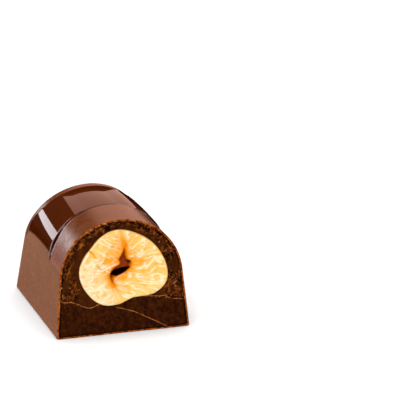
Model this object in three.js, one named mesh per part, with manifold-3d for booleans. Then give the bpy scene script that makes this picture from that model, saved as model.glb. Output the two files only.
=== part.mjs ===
// Half of a moulded chocolate bar, cut across to show the whole hazelnut inside it.
// Millimetres and degrees. +Y runs along the bar, away from the cut face, and +Z is up.
//
// The bar is modelled as it is made: an arched mould shape, a thin outer shell, a filling round the
// nut, a base layer poured last, and then one uneven cut through all of them.

import * as THREE from 'three';
import { mergeVertices } from 'three/addons/utils/BufferGeometryUtils.js';
import Module from 'manifold-3d';

const wasm = await Module();
wasm.setup();
const { degToRad, lerp, smoothstep } = THREE.MathUtils;

// ---- Driving dimensions: the moulded bar ----
const barWidth = 22;          // across the flat base
const barHeight = 19.8;
const barLength = 27;         // along the base, from the middle of the cut to the end wall
const wallDraft = degToRad(5.1);   // how far the side walls lean in
const endDraft = degToRad(19.8);   // how far the end wall leans in
const baseEdgeRadius = 0.35;
const endEdgeRadius = 0.8;
const shellThickness = 0.45;
const layerGap = 0.06;        // between two solids that touch

// The polished panel across the top: raised on both haunches, sunk on the crown.
const panelFoot = { haunch: 7, crown: 8.4 };   // from the cut face to the slope in front of the panel
const panelFootFrom = degToRad(30);   // angles above the springing line
const panelFootTo = degToRad(57);
const frontRun = { haunch: 1, crown: 0.3 };    // length of that slope
const backRun = { haunch: 0.3, crown: 0.7 };   // length of the slope behind the panel
const haunchRise = 0.35;
const haunchFrom = degToRad(5);
const haunchTo = degToRad(56);
const crownSink = 0.5;
const crownFrom = degToRad(55);
const crownTo = degToRad(76);
const panelCrowning = 0.12;   // the panel swells this much between its front and back edges
const endRingWidth = 1.9;     // plain ring between the panel and the end wall

// ---- Driving dimensions: the cut and what it shows ----
const cutTurn = degToRad(6.9);     // the knife went through at a slight angle
const cutRoughness = 0.12;
const rimWidth = 1;           // the cut evens out over this width before the edge
// Top of the base layer across the face, left to right: [across, height]
const layerLine = [
  [-11.5, 6.9], [-8.8, 6.3], [-5.4, 5], [-3.4, 5.5], [3, 6.2], [6.8, 5.85], [8.4, 5.15], [11.5, 4.7],
];
// Crack that runs down through the base layer: [across, height]
const baseCrack = [[-1.2, 4.8], [1.9, 3.7], [5.4, 1.65], [7.2, 0.55]];
const crackRidge = 0.22;
const crackRidgeWidth = 0.55;

// ---- Driving dimensions: the hazelnut ----
const nutCentre = { across: 0.2, height: 11.37 };
const nutRadius = 6.8;
const nutDepth = 6.6;         // how deep the kept half of the kernel sits behind the face
// The outline's departures from a circle: [lobes, size, direction of one lobe]
const nutLobes = [[2, 0.45, 1], [3, 0.48, -20.5], [4, 0.18, -21], [5, 0.18, 36]];
const nutProud = 0.15;        // the nut stands this far out of the chocolate's cut face
const nutEdgeDrop = 0.25;      // the nut's face falls away to its edge
const nutEdgeWidth = 1;
// The hollow between the two halves of the kernel, from the top suture to the bottom one:
// [across, height, half width, depth]
const kernelHollow = [
  [0.3, 18.2, 0.3, 0.25], [0.5, 16.4, 0.32, 0.35], [0.8, 14.3, 0.5, 1.1], [0.55, 13.1, 0.95, 2.1],
  [0.6, 12.1, 1.3, 2.9], [0.2, 11.3, 1.15, 3.6], [-0.8, 10.9, 1, 3.4], [-1.6, 10.2, 0.75, 2.6],
  [-1.7, 9.3, 0.5, 1.6], [-1.4, 8.5, 0.35, 0.8], [-1.1, 7.6, 0.3, 0.35], [-0.5, 5.4, 0.3, 0.3],
];
// A crack that runs in from the upper left edge: [across, height, half width, depth]
const kernelCrack = [[-5.7, 15.2, 0.4, 0.45], [-4.9, 14.55, 0.35, 0.4], [-3.8, 13.5, 0.3, 0.2]];
// Broken hollows beside it: [across, height, half length, half width, tilt, depth]
const kernelDishes = [
  [-2, 12.7, 2.1, 1.3, 8, 0.6], [2.3, 12.4, 1.6, 1.1, 60, 0.4], [0.3, 9.5, 1.7, 0.9, 25, 0.35],
  [4.6, 14.2, 1.6, 0.9, -40, 0.18], [-4.3, 8.4, 1.9, 1.2, -50, 0.15],
];

// ---- Fineness ----
const archSteps = 44;
const faceCell = 0.62;        // grid of the chocolate's cut face
const nutCell = 0.37;         // grid of the nut's cut face
const nutReach = 8.2;         // half width of that grid
const columnCrowding = 0.45;  // its columns' spacing in the hollow, as a share of nutCell
const nutSides = 44;
const nutRings = 24;

// ---- Worked out from the dimensions ----
const halfWidth = barWidth / 2;
// The arch is the circle that touches both leaning walls and the top.
const archRadius = (halfWidth + (baseEdgeRadius - barHeight) * Math.tan(wallDraft))
  / (1 / Math.cos(wallDraft) - Math.tan(wallDraft));
const archHeight = barHeight - archRadius;
const cutReach = halfWidth * Math.tan(cutTurn);
// The cut turns about its middle, so the cutters reach past the bar on both sides.
const spare = Math.ceil((barLength + cutReach) * Math.sin(cutTurn)) + 1;

// ---- Solids ----

function toSolid(geometry) {
  const bare = new THREE.BufferGeometry();
  bare.setAttribute('position', geometry.getAttribute('position'));
  bare.setIndex(geometry.getIndex());
  const merged = mergeVertices(bare, 1e-4);
  return new wasm.Manifold(new wasm.Mesh({
    numProp: 3,
    vertProperties: Float32Array.from(merged.getAttribute('position').array),
    triVerts: Uint32Array.from(merged.getIndex().array),
  }));
}

function toGeometry(solid) {
  const mesh = solid.getMesh();
  const geometry = new THREE.BufferGeometry();
  geometry.setAttribute('position', new THREE.BufferAttribute(mesh.vertProperties, 3));
  geometry.setIndex(new THREE.BufferAttribute(mesh.triVerts, 1));
  geometry.computeVertexNormals();
  return geometry;
}

// Joins rings of points into one closed body, with a fan over each end.
function loft(rings) {
  const sides = rings[0].length;
  const points = rings.flat();
  const index = [];
  for (let r = 0; r < rings.length - 1; r += 1) {
    for (let s = 0; s < sides; s += 1) {
      const a = r * sides + s;
      const b = r * sides + (s + 1) % sides;
      index.push(a, a + sides, b, b, a + sides, b + sides);
    }
  }
  for (const [ring, inward] of [[0, true], [rings.length - 1, false]]) {
    const hub = points.length;
    const middle = new THREE.Vector3();
    rings[ring].forEach((point) => middle.addScaledVector(point, 1 / sides));
    points.push(middle);
    for (let s = 0; s < sides; s += 1) {
      const a = ring * sides + s;
      const b = ring * sides + (s + 1) % sides;
      index.push(hub, ...(inward ? [a, b] : [b, a]));
    }
  }
  const geometry = new THREE.BufferGeometry().setFromPoints(points);
  geometry.setIndex(index);
  return geometry;
}

// A box turned like the cut, whose front face, at y = 0, is pushed back to depthAt(across, height).
// acrossAt can move the face's columns sideways, to where they are needed.
function cutBlock(across, height, cell, depthAt, acrossAt = (x) => x) {
  const size = across.max - across.min;
  const tall = height.max - height.min;
  const deep = barLength + 10;
  const box = new THREE.BoxGeometry(size, deep, tall, Math.round(size / cell), 1, Math.round(tall / cell));
  box.translate((across.min + across.max) / 2, deep / 2, (height.min + height.max) / 2);
  const position = box.getAttribute('position');
  for (let i = 0; i < position.count; i += 1) {
    if (position.getY(i) > deep / 2) continue;
    const z = position.getZ(i);
    const x = acrossAt(position.getX(i), z);
    position.setXYZ(i, x, depthAt(x, z), z);
  }
  return toSolid(box.rotateZ(-cutTurn));
}

// ---- Curves and relief ----

// Height of a line that eases from one named point to the next.
function easedLine(line, across) {
  const next = Math.max(1, line.findIndex(([x]) => x >= across));
  const [x0, z0] = line[next - 1];
  const [x1, z1] = line[next];
  return lerp(z0, z1, smoothstep(across, x0, x1));
}

// A smooth random field between -1 and 1, the same on every run.
function grain(across, height, size, seed) {
  const u = across / size;
  const v = height / size;
  const corner = (i, j) => {
    const wave = Math.sin(i * 127.1 + j * 311.7 + seed * 74.7) * 43758.5453;
    return 2 * (wave - Math.floor(wave)) - 1;
  };
  const i = Math.floor(u);
  const j = Math.floor(v);
  const fu = smoothstep(u - i, 0, 1);
  const fv = smoothstep(v - j, 0, 1);
  const low = lerp(corner(i, j), corner(i + 1, j), fu);
  const high = lerp(corner(i, j + 1), corner(i + 1, j + 1), fu);
  return lerp(low, high, fv);
}

// Depth of a groove that follows a line of [across, height, half width, depth].
function grooveDepth(line, across, height) {
  let deepest = 0;
  for (let i = 0; i < line.length - 1; i += 1) {
    const [x0, z0, w0, d0] = line[i];
    const [x1, z1, w1, d1] = line[i + 1];
    const run = (x1 - x0) ** 2 + (z1 - z0) ** 2;
    const t = THREE.MathUtils.clamp(((across - x0) * (x1 - x0) + (height - z0) * (z1 - z0)) / run, 0, 1);
    const away = Math.hypot(across - lerp(x0, x1, t), height - lerp(z0, z1, t)) / lerp(w0, w1, t);
    deepest = Math.max(deepest, lerp(d0, d1, t) * (1 - smoothstep(away, 0.3, 1)));
  }
  return deepest;
}

function dishDepth([x, z, halfLength, halfWidthAcross, tilt, depth], across, height) {
  const angle = degToRad(tilt);
  const along = ((across - x) * Math.cos(angle) + (height - z) * Math.sin(angle)) / halfLength;
  const aside = ((height - z) * Math.cos(angle) - (across - x) * Math.sin(angle)) / halfWidthAcross;
  return depth * (1 - smoothstep(Math.hypot(along, aside), 0.2, 1));
}

// How far a point of the cut face is inside the bar's outline.
function insideOutline(across, height) {
  const wallAcross = halfWidth - (height - baseEdgeRadius) * Math.tan(wallDraft);
  const wall = (wallAcross - Math.abs(across)) * Math.cos(wallDraft);
  const arch = archRadius - Math.hypot(across, height - archHeight);
  return Math.min(height > archHeight ? arch : wall, height);
}

// The broken chocolate of the cut face: uneven, with a ridge along the crack in the base layer.
function chocolateRelief(across, height) {
  const crack = baseCrack.map(([x, z]) => [x, z, crackRidgeWidth, crackRidge]);
  const rough = cutRoughness * (grain(across, height, 3.1, 1) + 0.6 * grain(across, height, 1.2, 2));
  return rough * smoothstep(insideOutline(across, height), 0, rimWidth) - grooveDepth(crack, across, height);
}

function nutOutline(angle) {
  return nutLobes.reduce(
    (radius, [lobes, size, towards]) => radius + size * Math.cos(lobes * (angle - degToRad(towards))),
    nutRadius,
  );
}

function nutRelief(across, height) {
  const dx = across - nutCentre.across;
  const dz = height - nutCentre.height;
  const toEdge = nutOutline(Math.atan2(dz, dx)) - Math.hypot(dx, dz);
  const edge = nutEdgeDrop * (1 - smoothstep(toEdge, -nutEdgeWidth, nutEdgeWidth));
  const hollows = Math.max(
    grooveDepth(kernelHollow, across, height),
    grooveDepth(kernelCrack, across, height),
    ...kernelDishes.map((dish) => dishDepth(dish, across, height)),
  );
  return 0.07 * grain(across, height, 1.6, 3) + edge + hollows - nutProud;
}

// The nut face's columns follow the hollow down the kernel and crowd together in it.
function nutColumn(across, height) {
  const aside = across - nutCentre.across;
  const share = Math.abs(aside) / nutReach;
  const below = Math.max(1, kernelHollow.findIndex(([, z]) => z <= height));
  const [x0, z0] = kernelHollow[below - 1];
  const [x1, z1] = kernelHollow[below];
  const middle = lerp(x0, x1, THREE.MathUtils.clamp((height - z0) / (z1 - z0), 0, 1));
  return lerp(middle, nutCentre.across, share) + aside * lerp(columnCrowding, 1, share);
}

// ---- The bar's parts ----

// Right half of the outline, from the base up to the crown, as points with their angle on the arch.
function halfOutline(inset, panel, swell) {
  const points = [];
  const cornerSteps = 2;
  for (let i = 0; i <= cornerSteps; i += 1) {
    const turn = (i / cornerSteps) * Math.PI / 2;
    points.push({
      x: halfWidth - inset - baseEdgeRadius * (1 - Math.sin(turn)),
      z: inset + baseEdgeRadius * (1 - Math.cos(turn)),
      angle: wallDraft,
    });
  }
  for (let i = 0; i <= archSteps / 2; i += 1) {
    const angle = lerp(wallDraft, Math.PI / 2, i / (archSteps / 2));
    const upHaunch = THREE.MathUtils.inverseLerp(haunchFrom, haunchTo, Math.min(angle, haunchTo));
    const lift = haunchRise * Math.sin(Math.PI * upHaunch) ** 2;
    const relief = lift - crownSink * smoothstep(angle, crownFrom, crownTo);
    const crowning = swell * smoothstep(angle, haunchFrom, (haunchFrom + haunchTo) / 2);
    const radius = archRadius - inset + panel * relief + crowning;
    points.push({ x: radius * Math.cos(angle), z: archHeight + radius * Math.sin(angle), angle });
  }
  return points;
}

// A full ring at one place along the bar. yOf gives each point's place from its height and angle.
function ring(inset, panel, yOf, swell = 0) {
  const right = halfOutline(inset, panel, swell);
  const left = right.slice(0, -1).reverse().map((p) => ({ ...p, x: -p.x }));
  return [...right, ...left].map((p) => new THREE.Vector3(p.x, yOf(p), p.z));
}

// The mould shape, made smaller all round by inset. It starts well in front of the cut.
function mouldShape(inset) {
  const endY = (p) => barLength - inset / Math.cos(endDraft) - p.z * Math.tan(endDraft);
  const blend = (sizes, share) => lerp(sizes.haunch, sizes.crown, share);
  const onCrown = (p) => smoothstep(p.angle, crownFrom, crownTo);
  const frontFoot = (p) => blend(panelFoot, smoothstep(p.angle, panelFootFrom, panelFootTo));
  const front = (p) => frontFoot(p) + blend(frontRun, onCrown(p));
  const backFoot = (p) => endY(p) - endRingWidth + inset;
  const back = (p) => backFoot(p) - blend(backRun, onCrown(p));
  const rings = [
    ring(inset, 0, () => -2 * cutReach),
    ring(inset, 0, frontFoot),
    ring(inset, 1, front),
    ring(inset, 1, (p) => (front(p) + back(p)) / 2, panelCrowning),
    ring(inset, 1, back),
    ring(inset, 0, backFoot),
  ];
  const round = endEdgeRadius - inset / 2;
  for (const turn of [0, 30, 60, 90].map(degToRad)) {
    const shrink = round * (1 - Math.cos(turn));
    rings.push(ring(inset + shrink, 0, (p) => endY(p) - round * (1 - Math.sin(turn))));
  }
  return toSolid(loft(rings));
}

// The whole kernel's outer skin, made larger all round by extra.
function nutBody(extra) {
  const sphere = new THREE.SphereGeometry(1, nutSides, nutRings);
  const position = sphere.getAttribute('position');
  for (let i = 0; i < position.count; i += 1) {
    const x = position.getX(i);
    const z = position.getZ(i);
    const reach = nutOutline(Math.atan2(z, x)) + extra;
    position.setXYZ(
      i,
      nutCentre.across + reach * x,
      (nutDepth + extra) * position.getY(i),
      nutCentre.height + reach * z,
    );
  }
  return toSolid(sphere.rotateZ(-cutTurn));
}

// Everything above (or below) the top of the base layer.
function sideOfLayer(above) {
  const width = barWidth + 2 * spare;
  const slab = new THREE.BoxGeometry(width, 3 * barLength, barHeight, Math.round(width / faceCell), 1, 1);
  slab.translate(0, 0, (above ? 1 : -1) * barHeight / 2);
  const position = slab.getAttribute('position');
  for (let i = 0; i < position.count; i += 1) {
    const line = easedLine(layerLine, position.getX(i)) + (above ? layerGap : 0);
    position.setZ(i, position.getZ(i) + line);
  }
  return toSolid(slab.rotateZ(-cutTurn));
}

const outer = mouldShape(0);
const hollow = mouldShape(shellThickness);
const inside = mouldShape(shellThickness + layerGap);
const nutRoom = nutBody(layerGap);
const face = cutBlock(
  { min: -halfWidth - spare, max: halfWidth + spare },
  { min: -1, max: barHeight + 1 },
  faceCell,
  chocolateRelief,
);
const nutFace = cutBlock(
  { min: nutCentre.across - nutReach, max: nutCentre.across + nutReach },
  { min: nutCentre.height - nutReach, max: nutCentre.height + nutReach },
  nutCell,
  nutRelief,
  nutColumn,
);

const solids = {
  shell: outer.subtract(hollow).intersect(face),
  filling: inside.intersect(sideOfLayer(true)).subtract(nutRoom).intersect(face),
  base_layer: inside.intersect(sideOfLayer(false)).subtract(nutRoom).intersect(face),
  hazelnut: nutBody(0).intersect(nutFace),
};

// ---- Materials ----
const materials = {
  shell: new THREE.MeshStandardMaterial({ color: 0x74483a, roughness: 0.3, metalness: 0 }),
  filling: new THREE.MeshStandardMaterial({ color: 0x2f1a0d, roughness: 0.6, metalness: 0 }),
  base_layer: new THREE.MeshStandardMaterial({ color: 0x2a1508, roughness: 0.55, metalness: 0 }),
  hazelnut: new THREE.MeshStandardMaterial({ color: 0xf6dfae, roughness: 0.5, metalness: 0 }),
};

const bar = new THREE.Group();
for (const [name, solid] of Object.entries(solids)) {
  const mesh = new THREE.Mesh(toGeometry(solid), materials[name]);
  mesh.name = name;
  bar.add(mesh);
}

// The origin is under the middle of the part's box.
const extent = new THREE.Box3().setFromObject(bar);
bar.position.y = -(extent.min.y + extent.max.y) / 2;

const part = new THREE.Group();
part.add(bar);
export default part;
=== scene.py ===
"""Half of a moulded chocolate bar, cut across to show the whole hazelnut inside it.

Sizes are millimetres and become metres where a mesh is made. Two sets of axes are used:
- the bar's: X across, Y along the bar from the middle of the cut, Z up from the base;
- the cut face's: across, height, and depth behind the face, for what the cut shows.
Each piece repeats its solid's form from the same named sizes, in finer steps and with its small relief.
"""

import math

import bmesh
import bpy
import numpy as np
from mathutils import Euler, Matrix, Vector


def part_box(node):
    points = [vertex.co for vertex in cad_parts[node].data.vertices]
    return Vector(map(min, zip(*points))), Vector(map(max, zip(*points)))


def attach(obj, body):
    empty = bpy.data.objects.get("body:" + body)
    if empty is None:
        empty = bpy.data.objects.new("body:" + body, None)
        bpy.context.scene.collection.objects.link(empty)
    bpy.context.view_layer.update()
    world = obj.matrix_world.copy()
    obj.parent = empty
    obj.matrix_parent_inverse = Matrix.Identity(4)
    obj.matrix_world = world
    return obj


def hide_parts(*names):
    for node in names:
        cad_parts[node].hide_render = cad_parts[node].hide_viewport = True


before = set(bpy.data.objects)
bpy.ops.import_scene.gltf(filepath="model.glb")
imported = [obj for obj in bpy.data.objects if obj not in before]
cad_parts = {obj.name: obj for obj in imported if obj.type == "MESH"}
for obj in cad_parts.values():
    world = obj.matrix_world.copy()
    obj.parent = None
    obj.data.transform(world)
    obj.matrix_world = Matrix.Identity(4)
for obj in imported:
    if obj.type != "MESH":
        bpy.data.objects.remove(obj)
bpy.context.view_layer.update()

MM = 0.001
shell_low, shell_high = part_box("shell")

# ---- The moulded bar ----
BAR_WIDTH = (shell_high.x - shell_low.x) / MM
BAR_HEIGHT = shell_high.z / MM
BAR_LENGTH = 27.0  # along the base, from the middle of the cut to the end wall
WALL_DRAFT = math.radians(5.1)
END_DRAFT = math.radians(19.8)
BASE_EDGE_RADIUS = 0.35
END_EDGE_RADIUS = 0.8
SHELL_THICKNESS = 0.45
OVERLAP = 0.02  # neighbouring pieces reach this far into each other, so that no gap shows

# The polished panel: raised on both haunches, sunk on the crown. Angles are above the springing line.
PANEL_FOOT = (7.1, 7.9)  # from the cut face to the slope in front of the haunch, and of the crown
PANEL_FOOT_ANGLES = np.radians((30, 57))
FRONT_RUN = (0.65, 1.0)  # length of that slope on the haunch, and on the crown
BACK_RUN = (0.3, 0.7)  # length of the slope behind
HAUNCH_RISE = 0.35
HAUNCH_ANGLES = np.radians((5, 56))
CROWN_SINK = 0.5
CROWN_ANGLES = np.radians((55, 76))
PANEL_CROWNING = 0.12
END_RING_WIDTH = 1.9
SLOPE_ROUNDING = 0.42  # share of a slope's length that is rounded at each end
POLISH_ANGLES = np.radians((5.5, 9.5))  # where the haunch turns from satin to polished
# Painted light and shade in front of the panel. Each has four places: where it starts, is full, starts to
# fade and ends.
CREASE_HEIGHTS = (11.4, 12.6, 17.6, 18.4)  # painted shade in the crease in front of each haunch
LEDGE_ACROSS = (-4.9, -4.3, 1.6, 2.6)  # painted shade along the ledge in front of the crown
PAINTED_HAUNCH_LIGHT_ANGLES = np.radians((8, 14, 26, 36))  # painted light on the haunches of the satin band
# The same four places up the slope in front of the panel, which goes from 0 at its foot to 1 at its top.
CREASE_ON_SLOPE = (0.0, 0.2, 0.75, 1.0)
LEDGE_ON_SLOPE = (-0.35, -0.15, 1.1, 1.5)
PAINTED_GLINTS_ON_SLOPE = [(-0.3, -0.1, 0.0, 0.1), (0.8, 1.0, 1.15, 1.35)]  # painted glints on both sides of the crease

# ---- The cut ----
CUT_TURN = math.radians(6.9)
CUT_ROUGHNESS = 0.12
FINE_ROUGHNESS = 0.02
RIM_WIDTH = 1.0  # the cut is smoother than elsewhere this far in from the bar's outline
RIM_ROUNDING = 0.09
ROUNDED_SHARE = 0.3  # of the way across the rim, for its rounded edge
CHIP_DEPTH = (0.06, 0.3)  # on most of the rim, and at its upper left
RIM_GAP, RIM_GAP_WIDTH = 0.14, 0.11  # the broken line between the shell's rim and the filling
LAYER_LINE = [
    (-11.5, 6.9), (-8.8, 6.3), (-5.4, 5.0), (-3.4, 5.5), (3.0, 6.2), (6.8, 5.85), (8.4, 5.15), (11.5, 4.7),
]
BASE_CRACK = [(-1.2, 4.8), (1.9, 3.7), (5.4, 1.65), (7.2, 0.55)]
CRACK_RIDGE, CRACK_RIDGE_WIDTH = 0.22, 0.55
SEAM_RIDGE, SEAM_RIDGE_WIDTH = 0.1, 0.13
SEAM_STEP = 0.1  # the filling lies this much deeper just above the seam
LINE_WIDTH = 0.1  # of the pale lines along the seam and the crack
# Where the cut crumbled: (starts across, full across, heights as the four places above, how much)
CRUMBLED = [(-6.6, -8.4, (5.2, 6.4, 9.2, 10.6), 1.0), (6.2, 8.2, (4.6, 6.0, 14.0, 16.5), 0.75)]
CRUMBLED_RIM = 0.6
CRUMB_RELIEF, SHARD_RELIEF = 0.2, 0.3

# ---- The hazelnut ----
NUT_CENTRE = (0.2, 11.37)
NUT_RADIUS = 6.8
NUT_DEPTH = 6.6
NUT_LOBES = [(2, 0.45, 1), (3, 0.48, -20.5), (4, 0.18, -21), (5, 0.18, 36)]  # (lobes, size, direction)
NUT_PROUD = 0.15
NUT_EDGE_DROP, NUT_EDGE_WIDTH = 0.25, 1.0
NUT_ROUNDING, NUT_ROUNDING_WIDTH = 0.14, 0.3  # how far the face drops at the skin itself
# Mouth of the hollow in the kernel, anticlockwise from its top.
HOLLOW_MOUTH = [
    (0.73, 15.45), (0.44, 14.98), (0.0, 13.98), (-0.48, 13.22), (-0.6, 12.74), (-0.45, 12.2), (-1.32, 11.69),
    (-1.94, 10.95), (-2.17, 10.1), (-1.89, 9.08), (-1.34, 8.54), (-1.18, 9.12), (-1.15, 9.69), (-0.44, 10.04),
    (0.59, 10.53), (1.46, 11.18), (1.88, 11.97), (1.72, 12.67), (1.28, 12.99), (1.1, 13.61), (1.04, 14.33),
]
HOLLOW_DEPTH = 1.0
HOLLOW_WALL = 0.8  # the hollow reaches its depth this far inside its mouth
SHOULDER_DROP, SHOULDER_WIDTH = (0.1, 0.35), 0.5  # of the face round most of the mouth, and at its upper left
# The deep slot at the hollow's bottom: (across, height, half width, depth)
SLOT = [
    (-1.5, 10.35, 0.35, 0.8), (-0.9, 10.45, 0.6, 1.6), (-0.1, 10.6, 0.62, 1.8), (0.8, 10.85, 0.5, 1.6),
    (1.6, 11.3, 0.32, 1.0),
]
SLOT_DEPTH = max(depth for _, _, _, depth in SLOT)
# A spot of painted shade in the hollow's right wall: (across, height, radius)
SHADE_SPOT = (1.3, 12.4, 0.55)
# Middle line of the kernel, from the top of its suture through the hollow to the bottom. Its fibres cross it.
SPINE = [
    (0.1, 18.0), (0.5, 15.9), (0.75, 14.8), (0.3, 12.9), (-0.6, 11.6), (-1.9, 10.2), (-1.6, 8.6), (-1.0, 7.4),
    (-0.3, 5.9),
]
# Sutures and cracks: (across, height, half width, depth)
SUTURES = [
    [(0.1, 18.0, 0.3, 0.06), (0.25, 16.9, 0.4, 0.1), (0.5, 16.0, 0.5, 0.2), (0.75, 15.2, 0.5, 0.4)],
    [(-1.35, 8.5, 0.35, 0.35), (-1.2, 8.0, 0.3, 0.15), (-0.9, 7.3, 0.2, 0.06)],
    [(-5.7, 15.2, 0.3, 0.25), (-5.2, 14.9, 0.25, 0.25), (-4.55, 14.3, 0.2, 0.18), (-4.1, 13.5, 0.15, 0.1)],
    [(-4.15, 12.45, 0.15, 0.08), (-3.55, 11.7, 0.18, 0.14), (-2.8, 11.25, 0.15, 0.1)],
    [(1.7, 12.9, 0.15, 0.15), (2.2, 13.3, 0.12, 0.1), (3.4, 13.35, 0.12, 0.04)],
]
# Broken flakes that lift off the face: (across, height, half width, height of the ridge)
LIPS = [
    [(-0.6, 12.25, 0.12, 0.12), (-1.25, 12.1, 0.15, 0.2), (-2.2, 11.7, 0.17, 0.24), (-3.05, 11.32, 0.18, 0.2),
     (-3.9, 11.3, 0.12, 0.08)],
    [(-1.2, 9.3, 0.1, 0.14), (-1.05, 9.8, 0.1, 0.12), (0.55, 10.5, 0.1, 0.08)],
    [(-3.3, 11.7, 0.1, 0.1), (-3.65, 12.5, 0.12, 0.14), (-3.2, 13.0, 0.1, 0.08)],
    [(-2.9, 13.9, 0.1, 0.08), (-2.2, 14.9, 0.12, 0.12), (-1.5, 15.8, 0.1, 0.08)],
    [(-6.35, 12.7, 0.25, 0.12), (-5.85, 13.7, 0.25, 0.16), (-5.3, 14.2, 0.2, 0.1)],
    [(3.6, 13.6, 0.12, 0.1), (4.4, 14.2, 0.14, 0.14), (5.3, 14.0, 0.1, 0.08)],
    [(-1.28, 8.0, 0.1, 0.1), (-0.95, 7.1, 0.1, 0.12), (-0.4, 6.0, 0.1, 0.08)],
    [(-1.15, 9.2, 0.1, 0.14), (-0.3, 8.3, 0.1, 0.12), (0.85, 7.65, 0.1, 0.06)],
    [(1.65, 10.45, 0.1, 0.1), (2.6, 10.3, 0.12, 0.12), (3.6, 9.8, 0.1, 0.08)],
    [(1.5, 14.9, 0.1, 0.1), (2.6, 14.1, 0.1, 0.1), (3.4, 13.7, 0.1, 0.08)],
]
# Facets broken out beside the hollow: (outline, depth, how orange, 0 to 1)
FACETS = [
    (
        [(-2.7, 13.7), (-1.7, 13.65), (-0.6, 13.1), (-0.6, 12.4), (-1.5, 12.25), (-2.8, 11.8), (-3.35, 12.6)],
        0.3, 1.0,
    ),
    ([(-1.1, 9.2), (-1.0, 9.85), (0.6, 10.4), (1.5, 10.6), (1.2, 9.6), (0.4, 8.95), (-0.75, 8.8)], 0.15, 1.0),
    ([(1.7, 13.3), (3.5, 13.2), (4.4, 12.4), (3.5, 11.2), (2.1, 10.9), (1.8, 12.0)], 0.12, 0.85),
    ([(-1.9, 15.2), (-1.0, 15.9), (0.4, 15.3), (-0.3, 13.9), (-1.5, 13.75), (-2.8, 13.9)], 0.25, 0.35),
    ([(1.1, 14.3), (2.0, 14.0), (1.8, 13.4), (1.3, 13.1)], 0.15, 0.6),
    ([(-1.3, 8.4), (-0.4, 7.9), (-0.6, 7.2), (-1.2, 7.6)], 0.12, 0.9),
]
FACET_EDGE = 0.5
FIBRE_SPREAD = 0.13  # how much the kernel's fibres fan out for each millimetre from the spine
FIBRE_WAVE = 0.25
FIBRE_STRETCH = 0.22  # a fibre's width over its length
CURL_TURN, CURL_SWING = 0.6, 1.4  # direction of the curled fibres, and how far it varies, in radians
FIBRE_RELIEF = 0.09
FACE_SWELL, FACE_ROUGHNESS = 0.1, 0.07

# ---- Fineness ----
FACE_CELL = 0.1
OUTLINE_STEPS = {"base": 14, "corner": 6, "wall": 26, "arch": 100}
BAND_RINGS = 33
EDGE_TURNS = np.radians((20, 45, 70, 90))  # round the rim's edge
RIM_RINGS = 9
SLOPE_RINGS = 17
PANEL_RINGS = 42
BACK_RINGS = 11
END_EDGE_RINGS = 11
END_WALL_RINGS = (0.08, 0.2, 0.35, 0.5, 0.65, 0.8, 0.93)  # shares of the way to the wall's middle
SEAM_STEPS = 300
NUT_SIDES = 420
NUT_FACE_RINGS = 120
NUT_BACK_RINGS = 28
NUT_ROOM_RINGS = 12
SHARP_ANGLE = math.radians(50)
# How far the tools that cut the pieces reach: past the bar's ends, past its sides, and from its middle
TOOL_MARGIN, TOOL_SIDE_MARGIN, SLAB_REACH = 10, 2, 15

# ---- Crumbs ----
CRUMBS = 1500
CRUMB_SIZE, LARGEST_CRUMB = 0.07, 0.13
CRUMB_SEED = 7
CRUMB_FROM_RIM, CRUMB_FROM_NUT = 0.3, 0.15
SEAM_CRUMBS, SEAM_CRUMBS_WIDTH = 0.1, 0.2  # how likely a crumb is on the seam, and how far it may be from it
STAND_OUT = 0.3  # how far a crumb's middle is out of the chocolate, as a share of its size
FLAKE_THICKNESS = 0.3
# Single flakes, pale partly in their own colour and partly as painted highlights: (across, height, length,
# width, turn in degrees)
FLAKES = [
    (-5.05, 18.0, 0.75, 0.2, 50), (-5.9, 16.95, 0.35, 0.2, 30), (-2.4, 19.3, 1.5, 0.1, 16),
    (-9.9, 9.0, 0.35, 0.2, 80), (-9.8, 7.6, 0.4, 0.15, 100), (-8.6, 8.9, 0.5, 0.1, 5),
    (8.8, 8.0, 1.3, 0.12, -35), (8.3, 12.3, 0.8, 0.1, -70), (6.4, 15.3, 0.5, 0.1, -50),
    (7.3, 9.2, 0.4, 0.2, 60),
]

# ---- The studio ----
FLOOR_RADIUS = 150
# The pool of light that polished surfaces mirror in the floor
POOL_FADES, POOL_ENDS = 42, 52
POOL_BACK = 12  # its middle, behind the bar's own
POOL_NEAR = 0.75  # its brightness beside the bar, in the bar's shade
POOL_COLOUR = (1.0, 0.5, 0.31)
LIGHT_DISTANCE = 420
CARD_DISTANCE = 400
WORLD_BRIGHT, WORLD_DIM = 1.2, 0.02  # to the camera, and to everything else
# Lights that only diffuse surfaces show: (azimuth, elevation, (width, height), brightness)
LIGHTS = {
    "key": (-150, 38, (260, 200), 3.9),
    "front_fill": (160, 30, (300, 240), 2.4),
    "top": (0, 85, (420, 420), 3.6),
    "left_fill": (-80, 30, (260, 200), 2.6),
    "right_fill": (90, 35, (260, 200), 1.6),
}
# Cards that only reflections show: (corners as (azimuth, elevation), brightness, colour)
CARDS = {
    "strip": ([(-15.5, 10.8), (-15.0, 13.6), (-31.0, 18.0), (-31.0, 3.0)], 4.6, (1, 0.95, 0.98)),
    "crown_card": ([(21.0, -6.0), (47.0, 9.5), (18.0, 56.0), (-8.4, 36.0)], 1.2, (1, 0.54, 0.42)),
    "edge_card": ([(-38, -5), (-38, 48), (-75, 48), (-75, -5)], 2.5, (1, 0.95, 0.95)),
}
CAMERA_AZIMUTH, CAMERA_ELEVATION, CAMERA_ROLL = -19.355, 19.564, -1.304
CAMERA_TARGET = (14.69, 2.48, 20.29)  # from the middle of the cut's base
CAMERA_DISTANCE = 361.6
CAMERA_LENS, CAMERA_SENSOR = 198.2, 36

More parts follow.
